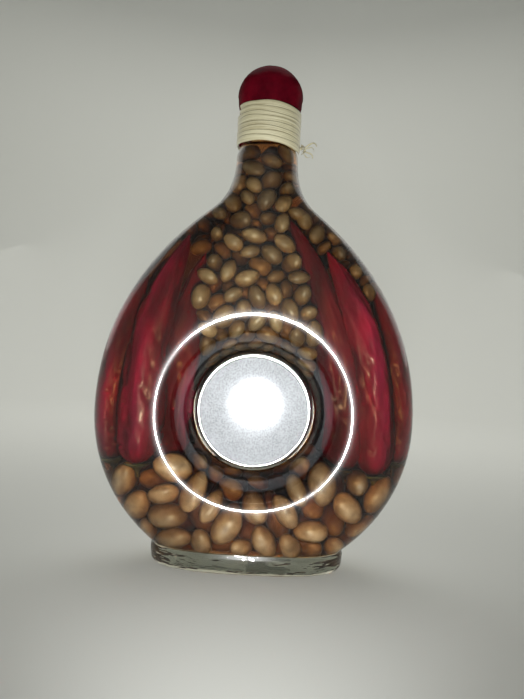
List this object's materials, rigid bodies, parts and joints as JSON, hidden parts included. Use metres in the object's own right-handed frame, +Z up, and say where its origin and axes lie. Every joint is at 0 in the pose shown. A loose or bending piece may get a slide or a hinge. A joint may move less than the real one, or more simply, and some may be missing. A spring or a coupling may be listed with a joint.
{
  "type": "oil bottle",
  "caption": "Round glass oil flask dished in at the middle, with a cast disc, chillies and beans in oil, raffia round the neck and a wax-dipped stopper that pulls out.",
  "frame": {"origin": "centre of the foot's flat underside", "axes": "+Z up along the neck, -Y the front with the cast disc, +X to the right seen from the front"},
  "size_m": [0.1568, 0.05, 0.2467],
  "materials": {
    "flask_glass": "clear, slightly green, polished",
    "disc_metal": "cast grey metal with a fine grain and a brighter rim",
    "glue": "clear set glue",
    "wax": "dark red dipped wax, satin to gloss",
    "head_wood": "turned wood",
    "cork": "natural cork",
    "raffia": "dry flat straw fibre with a slight sheen",
    "beans": "wet brown bean skin",
    "oil": "clear golden oil",
    "chilli": "wet red chilli skin",
    "stalk": "dark green calyx"
  },
  "bodies": {
    "bottle": {"glass_flask": "flask_glass", "cast_disc": "disc_metal", "glue_pad": "glue", "wax_collar": "wax", "raffia_first_strand": "raffia", "raffia_second_strand": "raffia", "raffia_knot": "raffia", "raffia_upper_tail": "raffia", "raffia_lower_tail": "raffia", "bean_bed_lower": "beans", "bean_bed_upper": "beans", "bean_bed_shoulder": "beans", "oil_column": "oil", "chilli_left_outer": "chilli", "chilli_left_middle": "chilli", "chilli_left_inner": "chilli", "chilli_left_rear": "chilli", "chilli_left_back": "chilli", "chilli_right_inner": "chilli", "chilli_right_middle": "chilli", "chilli_right_outer": "chilli", "chilli_right_low": "chilli", "chilli_right_rear": "chilli", "chilli_right_back": "chilli", "stalk_left_outer": "stalk", "stalk_left_middle": "stalk", "stalk_left_inner": "stalk", "stalk_left_rear": "stalk", "stalk_left_back": "stalk", "stalk_right_inner": "stalk", "stalk_right_middle": "stalk", "stalk_right_outer": "stalk", "stalk_right_low": "stalk", "stalk_right_rear": "stalk", "stalk_right_back": "stalk"},
    "stopper": {"wax_cap": "wax", "stopper_head": "head_wood", "cork_shank": "cork"}
  },
  "joints": [
    {"name": "stopper_pull", "type": "slide", "parent": "bottle", "child": "stopper", "axis": [0, 0, 1], "range_m": [0, 0.03]}
  ]
}
